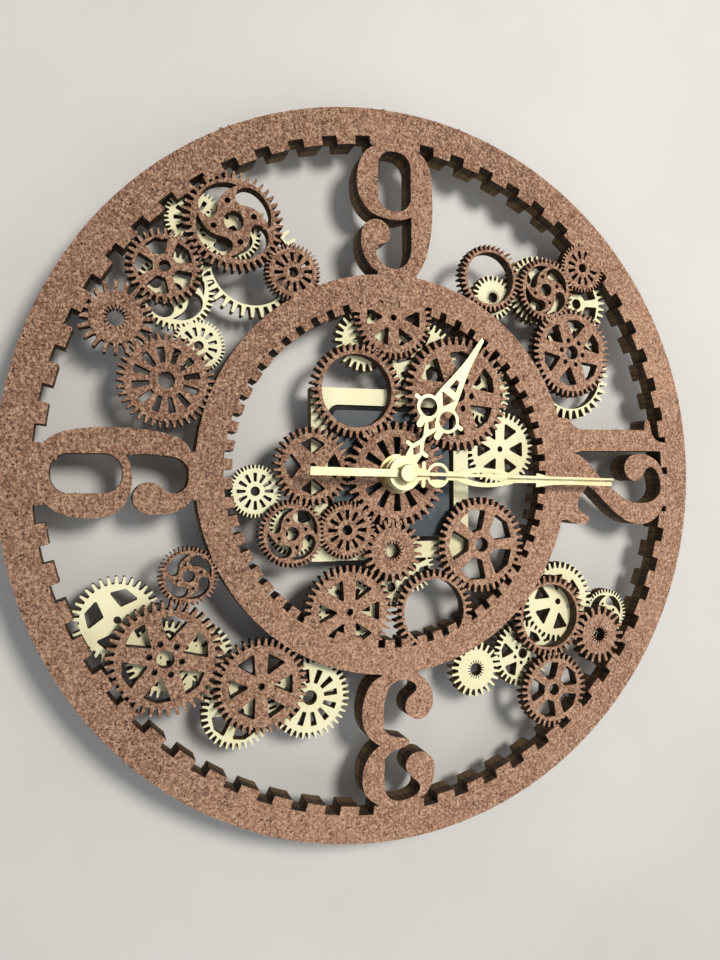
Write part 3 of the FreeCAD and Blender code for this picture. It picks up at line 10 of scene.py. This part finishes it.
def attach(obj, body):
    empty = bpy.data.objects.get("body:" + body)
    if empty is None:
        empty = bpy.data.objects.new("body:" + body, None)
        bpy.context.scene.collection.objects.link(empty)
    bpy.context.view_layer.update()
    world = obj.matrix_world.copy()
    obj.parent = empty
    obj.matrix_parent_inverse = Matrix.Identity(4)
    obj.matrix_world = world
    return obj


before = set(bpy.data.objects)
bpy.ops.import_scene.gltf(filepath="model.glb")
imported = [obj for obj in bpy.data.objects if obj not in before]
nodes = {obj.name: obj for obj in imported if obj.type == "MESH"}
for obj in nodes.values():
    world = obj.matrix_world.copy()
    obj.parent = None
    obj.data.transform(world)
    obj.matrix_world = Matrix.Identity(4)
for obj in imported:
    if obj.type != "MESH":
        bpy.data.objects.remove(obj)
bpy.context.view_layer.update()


# The front board is laser-cut wood. Its face wears a gritty rust-brown paint whose grains,
# crumbs and pits carry painted highlights and painted shade; the beam has scorched its edges to a
# burnt, streaky brown.

LEAST_FACE_TURN, FULL_FACE_TURN = 0.4, 0.8
PLY_LINES = 5200
BEAM_STREAKS = 900
# How fast the heavier coat and the painted raking-light contrast rise towards the 6 and the 9.
COAT_AND_RAKING_LIGHT_RISE_TO_SIX, COAT_AND_RAKING_LIGHT_RISE_TO_NINE = -3.2, -2.4
GRITTY_RELIEF = 0.0009


class Wire:
    """One output of a shader node, with arithmetic that adds the nodes it needs."""

    def __init__(self, tree, socket):
        self.tree = tree
        self.socket = socket

    def feed(self, target, value):
        if isinstance(value, Wire):
            self.tree.links.new(value.socket, target)
        else:
            target.default_value = value

    def use(self, kind, out=0, settings=None, **inputs):
        """Add any node; inputs are given by their names, with _ for a space, or i and a number."""
        made = self.tree.nodes.new(kind)
        for key, value in (settings or {}).items():
            setattr(made, key, value)
        for key, value in inputs.items():
            if key[0] == "i" and key[1:].isdigit():
                target = made.inputs[int(key[1:])]
            else:
                target = made.inputs[key.replace("_", " ")]
            self.feed(target, value)
        return Wire(self.tree, made.outputs[out])

    def maths(self, operation, first, second=0.0):
        return self.use("ShaderNodeMath", settings={"operation": operation}, i0=first, i1=second)

    def sine(self):
        return self.maths("SINE", self)

    def __add__(self, other):
        return self.maths("ADD", self, other)

    def __radd__(self, other):
        return self.maths("ADD", other, self)

    def __sub__(self, other):
        return self.maths("SUBTRACT", self, other)

    def __rsub__(self, other):
        return self.maths("SUBTRACT", other, self)

    def __mul__(self, other):
        return self.maths("MULTIPLY", self, other)

    def __rmul__(self, other):
        return self.maths("MULTIPLY", other, self)

    def step(self, low, high, to_low=0.0, to_high=1.0):
        """A smooth rise from one value to another between two limits."""
        return self.use("ShaderNodeMapRange", settings={"interpolation_type": "SMOOTHSTEP"},
                        i0=self, i1=low, i2=high, i3=to_low, i4=to_high)

    def between(self, low_colour, high_colour):
        """Colours mixed by this value."""
        return self.use("ShaderNodeMix", out=2, settings={"data_type": "RGBA"},
                        i0=self, i6=low_colour, i7=high_colour)

    def noise(self, scale, detail=4.0, roughness=0.55, stretch=(1, 1, 1)):
        place = self.use("ShaderNodeMapping", i0=self, i3=stretch)
        return self.use("ShaderNodeTexNoise", Vector=place, Scale=scale, Detail=detail,
                        Roughness=roughness)

    def cells(self, scale):
        """The distance to the nearest of many scattered points."""
        return self.use("ShaderNodeTexVoronoi", Vector=self, Scale=scale)


def colour(red, green, blue):
    """A colour given as the eye reads it, from 0 to 255."""
    def linear(value):
        value = value / 255
        return value / 12.92 if value <= 0.04045 else ((value + 0.055) / 1.055) ** 2.4
    return (linear(red), linear(green), linear(blue), 1.0)


def material(name, paint):
    """A material whose surface is described by a function of the object's own places."""
    made = bpy.data.materials.new(name)
    made.use_nodes = True
    tree = made.node_tree
    shader = tree.nodes["Principled BSDF"]
    coordinates = tree.nodes.new("ShaderNodeTexCoord")
    where = Wire(tree, coordinates.outputs["Object"])
    normal = Wire(tree, coordinates.outputs["Normal"])
    for key, value in paint(where, normal).items():
        where.feed(shader.inputs[key.replace("_", " ")], value)
    return made


def bumps(height, strength, distance):
    """Relief of a height from 0 to 1 that stands a distance proud."""
    return height.use("ShaderNodeBump", Strength=strength, Distance=distance, Height=height)


def wear(names, made):
    """Gives the nodes of these names one material."""
    for name in names:
        nodes[name].data.materials.clear()
        nodes[name].data.materials.append(made)


def upward(normal):
    """One on faces that look out of the dial, zero on the cut edges."""
    height = normal.use("ShaderNodeSeparateXYZ", out=2, i0=normal)
    return height.step(LEAST_FACE_TURN, FULL_FACE_TURN)


def scorched(where, dark, mid, pale):
    """A laser-cut edge: burnt, with fine streaks along the beam and glue lines of the plies."""
    streaks = where.noise(BEAM_STREAKS, 5, 0.6, stretch=(1, 1, 0.08))
    depth = where.use("ShaderNodeSeparateXYZ", out=2, i0=where)
    ply = (depth * PLY_LINES).sine()
    soot = where.noise(160, 3, 0.5)
    burnt = streaks.step(0.35, 0.7).between(dark, mid)
    return (ply * 0.35 + soot * 0.9).step(0.55, 1.0, 0.0, 0.55).between(burnt, pale)


def rust_paint(where, normal):
    face = upward(normal)
    place = where.noise(7, 2, 0.5) * 0.9
    # Towards the 6 and the 9 the coat is heavier and the raking light gives more contrast; this mask
    # adds height there and sets more of the crumbs' painted highlight and the pits' painted shade.
    toward_six = where.use("ShaderNodeSeparateXYZ", out=1, i0=where) * COAT_AND_RAKING_LIGHT_RISE_TO_SIX
    toward_nine = where.use("ShaderNodeSeparateXYZ", out=0, i0=where) * COAT_AND_RAKING_LIGHT_RISE_TO_NINE
    heavy_coat_and_raking_light = (place + toward_six + toward_nine).step(0.15, 0.95)
    grain = where.noise(1000, 5, 0.75)
    coarse = where.noise(480, 3, 0.6)
    drift = where.noise(18, 3, 0.5)
    scattered = where.noise(150, 3, 0.6)
    crumbs = where.cells(480).step(0.12, 0.42, 1.0, 0.0) * (scattered + heavy_coat_and_raking_light * 0.16).step(0.56, 0.68)
    pits = where.cells(620).step(0.10, 0.30, 1.0, 0.0) * (1 - scattered + heavy_coat_and_raking_light * 0.10).step(0.59, 0.69)
    base = drift.step(0.3, 0.7).between(colour(152, 109, 84), colour(171, 127, 99))
    # Painted highlight on the grains' lit sides and painted shade on their dark sides, over the paint's
    # own tone.
    base = grain.step(0.47, 0.62).between(base, colour(218, 180, 150))
    base = grain.step(0.36, 0.49, 0.78, 0.0).between(base, colour(92, 60, 45))
    base = coarse.step(0.58, 0.72, 0.0, 0.3).between(base, colour(122, 84, 64))
    # Painted highlight: the crumbs' lit tops are lighter.
    base = (crumbs * 0.45).between(base, colour(190, 148, 124))
    # Painted shade: the pits are darkened.
    base = (pits * 0.9).between(base, colour(48, 29, 22))
    edge = scorched(where, colour(34, 24, 17), colour(84, 61, 41), colour(136, 106, 74))
    height = grain * (heavy_coat_and_raking_light * 0.5 + 0.6) + coarse * (heavy_coat_and_raking_light * 0.9 + 0.3) + crumbs * 1.5 - pits * 1.2
    return {"Base_Color": face.between(edge, base),
            "Roughness": face * (grain * 0.25 + 0.5) + (1 - face) * 0.82,
            "Specular_IOR_Level": 0.35,
            "Normal": bumps(height, 1.0, GRITTY_RELIEF)}


wear([name for name in nodes if name.startswith("front_")], material("rust_paint", rust_paint))


# Crumbs of grit stand proud in the rust paint. They are thick on the half of the dial
# towards the 6 and the 9, where the coat is heaviest, and sparse on the other half.

GRIT_COUNT = 2400
GRIT_SMALLEST, GRIT_LARGEST = 0.00025, 0.0010
GRIT_RARITY_OF_LARGE = 2.5
GRIT_HEIGHT_SHARE = 0.7
GRIT_LEAST_STRETCH, GRIT_MOST_STRETCH = 0.7, 1.3
GRIT_LEAST_JAG, GRIT_MOST_JAG = 0.85, 1.15
GRIT_LEAST_SHARE, GRIT_MIDDLE_SHARE = 0.12, 0.4
GRIT_RISE_TO_SIX, GRIT_RISE_TO_NINE = 4.0, 3.0
GRIT_RELIEF = 0.0001
FLAT_FACE_TURN = 0.99
luck = random.Random(12)


def face_triangles(mesh):
    """The corners of each triangle that looks straight out of the dial, and its area."""
    mesh.calc_loop_triangles()
    for triangle in mesh.loop_triangles:
        if triangle.normal.z > FLAT_FACE_TURN:
            yield [mesh.vertices[corner].co.copy() for corner in triangle.vertices], triangle.area


def crumb_shape():
    """The points and faces of one crumb with a radius of 1."""
    shape = bmesh.new()
    bmesh.ops.create_icosphere(shape, subdivisions=1, radius=1.0)
    points = [vertex.co.copy() for vertex in shape.verts]
    faces = [[vertex.index for vertex in face.verts] for face in shape.faces]
    shape.free()
    return points, faces


def grit_paint(where, normal):
    tone = where.noise(320, 3, 0.6)
    base = tone.step(0.35, 0.65).between(colour(112, 74, 56), colour(176, 132, 106))
    return {"Base_Color": base, "Roughness": tone * 0.2 + 0.55,
            "Normal": bumps(where.noise(2600, 2), 0.5, GRIT_RELIEF)}


triangles, areas = [], []
for name in nodes:
    if name.startswith("front_"):
        for corners, area in face_triangles(nodes[name].data):
            triangles.append(corners)
            areas.append(area)
areas_so_far = list(accumulate(areas))
crumb_points, crumb_faces = crumb_shape()
grit_points, grit_faces = [], []
while len(grit_points) < GRIT_COUNT * len(crumb_points):
    first, second, third = luck.choices(triangles, cum_weights=areas_so_far)[0]
    across, along = luck.random(), luck.random()
    if across + along > 1:
        across, along = 1 - across, 1 - along
    place = first + (second - first) * across + (third - first) * along
    coat = GRIT_MIDDLE_SHARE - GRIT_RISE_TO_SIX * place.y - GRIT_RISE_TO_NINE * place.x
    if luck.random() > max(coat, GRIT_LEAST_SHARE):
        continue
    size = GRIT_SMALLEST + (GRIT_LARGEST - GRIT_SMALLEST) * luck.random() ** GRIT_RARITY_OF_LARGE
    start = len(grit_points)
    turn = Matrix.Rotation(luck.uniform(0, math.tau), 3, "Z")
    stretch = luck.uniform(GRIT_LEAST_STRETCH, GRIT_MOST_STRETCH)
    for point in crumb_points:
        bent = turn @ Vector((point.x * stretch, point.y / stretch, point.z * GRIT_HEIGHT_SHARE))
        grit_points.append(place + bent * size * luck.uniform(GRIT_LEAST_JAG, GRIT_MOST_JAG))
    grit_faces += [[start + corner for corner in face] for face in crumb_faces]
mesh = bpy.data.meshes.new("paint_grit")
mesh.from_pydata(grit_points, [], grit_faces)
mesh.materials.append(material("grit_paint", grit_paint))
grit = bpy.data.objects.new("paint_grit", mesh)
bpy.context.scene.collection.objects.link(grit)
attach(grit, "clock_frame")


# The back board shows between the front's gears: the same sheet under a smooth pale gold
# paint, a little dusty, with browner edges where the beam passed through.

GOLD_RELIEF = 0.00012


def gold_paint(where, normal):
    face = upward(normal)
    cloud = where.noise(45, 4, 0.55)
    grain = where.noise(1500, 3, 0.6)
    specks = where.cells(650).step(0.05, 0.13, 1.0, 0.0) * where.noise(180, 2).step(0.56, 0.66)
    base = cloud.step(0.32, 0.7).between(colour(240, 231, 184), colour(250, 244, 206))
    base = grain.step(0.4, 0.7).between(base, colour(243, 235, 190))
    base = (specks * 0.7).between(base, colour(112, 92, 58))
    edge = scorched(where, colour(62, 46, 30), colour(118, 92, 60), colour(172, 142, 98))
    return {"Base_Color": face.between(edge, base),
            "Roughness": face * (grain * 0.18 + 0.5) + (1 - face) * 0.8,
            "Specular_IOR_Level": 0.35,
            "Normal": bumps(grain * 0.6 + cloud * 0.4 - specks, 0.3, GOLD_RELIEF)}


wear([name for name in nodes if name.startswith("back_")], material("gold_paint", gold_paint))


# The hands and their cap are thin sheet under the same pale gold paint, with the faint
# orange peel of a spray coat; their rims are darkened with painted shade.

PEEL_RELIEF = 0.00008


def hand_paint(where, normal):
    face = upward(normal)
    peel = where.noise(1300, 2, 0.5)
    cloud = where.noise(70, 3, 0.5)
    dust = where.cells(900).step(0.03, 0.08, 1.0, 0.0) * where.noise(240, 2).step(0.58, 0.66)
    base = cloud.step(0.35, 0.7).between(colour(236, 223, 170), colour(248, 238, 192))
    base = (dust * 0.6).between(base, colour(128, 108, 72))
    # Painted shade: the side faces get a darker copy of the paint.
    painted_shade_rim = peel.step(0.4, 0.6).between(colour(124, 108, 62), colour(158, 142, 88))
    return {"Base_Color": face.between(painted_shade_rim, base),
            "Metallic": 0.25,
            "Roughness": peel * 0.2 + 0.34,
            "Specular_IOR_Level": 0.45,
            "Normal": bumps(peel, 0.25, PEEL_RELIEF)}


wear(["hour_hand", "minute_hand", "second_hand", "second_cap"], material("hand_paint", hand_paint))


# The movement's case, cover and knob are moulded in dark plastic with a fine spark
# texture, a few scuffs and dust that has settled on the upper faces.

SPARK_RELIEF = 0.0001


def dark_plastic(where, normal):
    face = upward(normal)
    spark = where.noise(2400, 3, 0.7)
    dust = where.noise(120, 5, 0.65).step(0.5, 0.75) * face
    scuffs = where.noise(300, 3, 0.5, stretch=(1, 0.06, 1)).step(0.66, 0.74)
    base = spark.step(0.4, 0.65).between(colour(52, 61, 66), colour(67, 77, 83))
    base = (dust * 0.35).between(base, colour(112, 116, 118))
    base = (scuffs * 0.3).between(base, colour(96, 104, 112))
    return {"Base_Color": base,
            "Roughness": spark * 0.2 + 0.42 - scuffs * 0.12,
            "Specular_IOR_Level": 0.45,
            "Normal": bumps(spark, 0.35, SPARK_RELIEF)}


wear(["movement_case", "movement_cover", "setting_knob"], material("dark_plastic", dark_plastic))


# The bush, washer and nut are turned brass, still bright; the hanger, contacts and stator
# are pressed steel with rolling lines.

TURNING_RELIEF = 0.00006
ROLLING_RELIEF = 0.00005


def bright_brass(where, normal):
    turning = where.noise(1800, 2, 0.5, stretch=(0.2, 0.2, 3.0))
    tarnish = where.noise(260, 5, 0.6)
    base = tarnish.step(0.35, 0.68).between(colour(238, 222, 170), colour(206, 182, 122))
    return {"Base_Color": base,
            "Metallic": 1.0,
            "Roughness": tarnish * 0.35 + 0.22,
            "Normal": bumps(turning, 0.3, TURNING_RELIEF)}


def pressed_steel(where, normal):
    lines = where.noise(1400, 4, 0.6, stretch=(1.0, 0.04, 1.0))
    stain = where.noise(190, 4, 0.6)
    base = stain.step(0.45, 0.75).between(colour(176, 177, 176), colour(138, 134, 126))
    return {"Base_Color": base,
            "Metallic": 1.0,
            "Roughness": lines * 0.3 + 0.25,
            "Normal": bumps(lines, 0.25, ROLLING_RELIEF)}


wear(["threaded_bush", "washer", "nut"], material("bright_brass", bright_brass))
wear(["hanger", "contact_plus", "contact_minus", "stator"], material("pressed_steel", pressed_steel))


# The battery wears a plain film jacket: pale grey, with a slate-blue band at one end and
# bare metal on the nub.

BAND_START = 0.009
NUB_START = 0.0231
PRINT_EDGE = 0.0002


def battery_jacket(where, normal):
    along = where.use("ShaderNodeSeparateXYZ", out=0, i0=where)
    band = along.step(BAND_START - PRINT_EDGE, BAND_START + PRINT_EDGE)
    metal = along.step(NUB_START, NUB_START + PRINT_EDGE)
    scratches = where.noise(900, 3, 0.5, stretch=(0.1, 1, 1)).step(0.62, 0.72)
    base = band.between(colour(196, 197, 194), colour(70, 92, 116))
    base = (scratches * 0.25).between(base, colour(150, 150, 146))
    base = metal.between(base, colour(190, 190, 188))
    return {"Base_Color": base,
            "Metallic": metal,
            "Roughness": scratches * 0.25 + 0.28,
            "Coat_Weight": 0.3}


wear(["battery"], material("battery_jacket", battery_jacket))


# Inside the case: white nylon wheels, a black bobbin, its copper winding and a green
# circuit board under a blob of resin.

NYLON_DEPTH_OF_LIGHT = (0.002, 0.002, 0.0015)
NYLON_RELIEF = 0.00005
MOULDING_RELIEF = 0.00008
STRAND_LINES = 42000
STRAND_RELIEF = 0.00008
RESIN_START = 0.00303
RESIN_EDGE = 0.00003
WEAVE_RELIEF = 0.00004


def white_nylon(where, normal):
    cloud = where.noise(300, 4, 0.6)
    grease = where.noise(700, 3, 0.6).step(0.6, 0.72)
    base = cloud.step(0.3, 0.7).between(colour(224, 221, 208), colour(240, 238, 230))
    return {"Base_Color": (grease * 0.3).between(base, colour(176, 164, 130)),
            "Roughness": 0.45 - grease * 0.2,
            "Subsurface_Weight": 0.1,
            "Subsurface_Radius": NYLON_DEPTH_OF_LIGHT,
            "Normal": bumps(cloud, 0.15, NYLON_RELIEF)}


def black_moulding(where, normal):
    spark = where.noise(2000, 3, 0.6)
    return {"Base_Color": spark.step(0.4, 0.7).between(colour(20, 20, 22), colour(34, 34, 37)),
            "Roughness": spark * 0.25 + 0.4,
            "Normal": bumps(spark, 0.25, MOULDING_RELIEF)}


def wound_copper(where, normal):
    along = where.use("ShaderNodeSeparateXYZ", out=0, i0=where)
    strands = (along * STRAND_LINES).sine()
    dull = where.noise(500, 3, 0.6)
    return {"Base_Color": dull.step(0.35, 0.7).between(colour(196, 112, 62), colour(140, 74, 38)),
            "Metallic": 1.0,
            "Roughness": dull * 0.2 + 0.25,
            "Normal": bumps(strands, 0.6, STRAND_RELIEF)}


def green_board(where, normal):
    height = where.use("ShaderNodeSeparateXYZ", out=2, i0=where)
    blob = height.step(RESIN_START, RESIN_START + RESIN_EDGE)
    weave = where.cells(1600)
    tracks = where.noise(420, 1, 0.3).step(0.5, 0.53)
    base = (tracks * 0.5).between(colour(30, 72, 40), colour(58, 110, 60))
    return {"Base_Color": blob.between(base, colour(18, 18, 20)),
            "Roughness": blob * 0.2 + weave * 0.1 + 0.35,
            "Normal": bumps(weave, 0.15, WEAVE_RELIEF)}


wear(["rotor", "intermediate_wheel", "second_wheel", "third_wheel", "centre_wheel",
      "minute_pinion", "setting_wheel", "hour_wheel"], material("white_nylon", white_nylon))
wear(["coil_bobbin"], material("black_moulding", black_moulding))
wear(["coil_winding"], material("wound_copper", wound_copper))
wear(["circuit_board"], material("green_board", green_board))


# The clock lies face up on a plain pale floor with fine matt paint, which takes its
# shadow and isn't part of it.

FLOOR_SIDE = 6.0
FLOOR_RELIEF = 0.0001


def floor_paint(where, normal):
    mottle = where.noise(6, 4, 0.55)
    return {"Base_Color": mottle.step(0.3, 0.7).between(colour(212, 209, 203), colour(219, 216, 211)),
            "Roughness": mottle * 0.15 + 0.7,
            "Normal": bumps(where.noise(400, 3, 0.6), 0.1, FLOOR_RELIEF)}


bpy.ops.mesh.primitive_plane_add(size=FLOOR_SIDE, location=(0, 0, 0))
floor = bpy.context.object
floor.name = "floor"
floor.data.materials.append(material("floor_paint", floor_paint))


# Three soft round lamps and a pale sky light the clock. The key lamp stands high on the
# side of the 10, and the other two fill the shadows.

SKY_TINT = (0.9, 0.93, 1.0, 1.0)
SKY_STRENGTH = 0.26


def lamp(name, place, width, power, tint):
    """A round soft lamp that looks at the middle of the dial."""
    data = bpy.data.lights.new(name, "AREA")
    data.shape = "DISK"
    data.size = width
    data.energy = power
    data.color = tint
    made = bpy.data.objects.new(name, data)
    bpy.context.scene.collection.objects.link(made)
    made.location = place
    made.rotation_euler = (-Vector(place)).to_track_quat("-Z", "Y").to_euler()


lamp("key", place=(-0.34, 0.30, 1.04), width=0.34, power=9.6, tint=(1.0, 0.97, 0.92))
lamp("fill", place=(0.7, -0.6, 0.9), width=1.0, power=2.6, tint=(0.96, 0.98, 1.0))
lamp("far", place=(0.1, 1.0, 0.6), width=0.8, power=2.4, tint=(1.0, 1.0, 1.0))
world = bpy.data.worlds.new("studio")
world.use_nodes = True
sky = world.node_tree.nodes["Background"]
sky.inputs["Color"].default_value = SKY_TINT
sky.inputs["Strength"].default_value = SKY_STRENGTH
bpy.context.scene.world = world
bpy.context.scene.view_settings.view_transform = "Standard"


# The camera stands over the side of the 6, close above the dial, and sees it with the 12
# to the right of the picture, as in the photograph.

CAMERA_PLACE = (0.00577, -0.12665, 0.32562)
CAMERA_TURN = (0.666, -19.748, 89.668)
FOCAL_LENGTH = 28.07
SENSOR_SIDE = 36.0
NEAREST_SEEN = 0.01
lens = bpy.data.cameras.new("camera")
lens.sensor_fit = "VERTICAL"
lens.sensor_height = SENSOR_SIDE
lens.sensor_width = SENSOR_SIDE
lens.lens = FOCAL_LENGTH
lens.clip_start = NEAREST_SEEN
camera = bpy.data.objects.new("camera", lens)
bpy.context.scene.collection.objects.link(camera)
camera.location = CAMERA_PLACE
camera.rotation_euler = [math.radians(turn) for turn in CAMERA_TURN]
bpy.context.scene.camera = camera
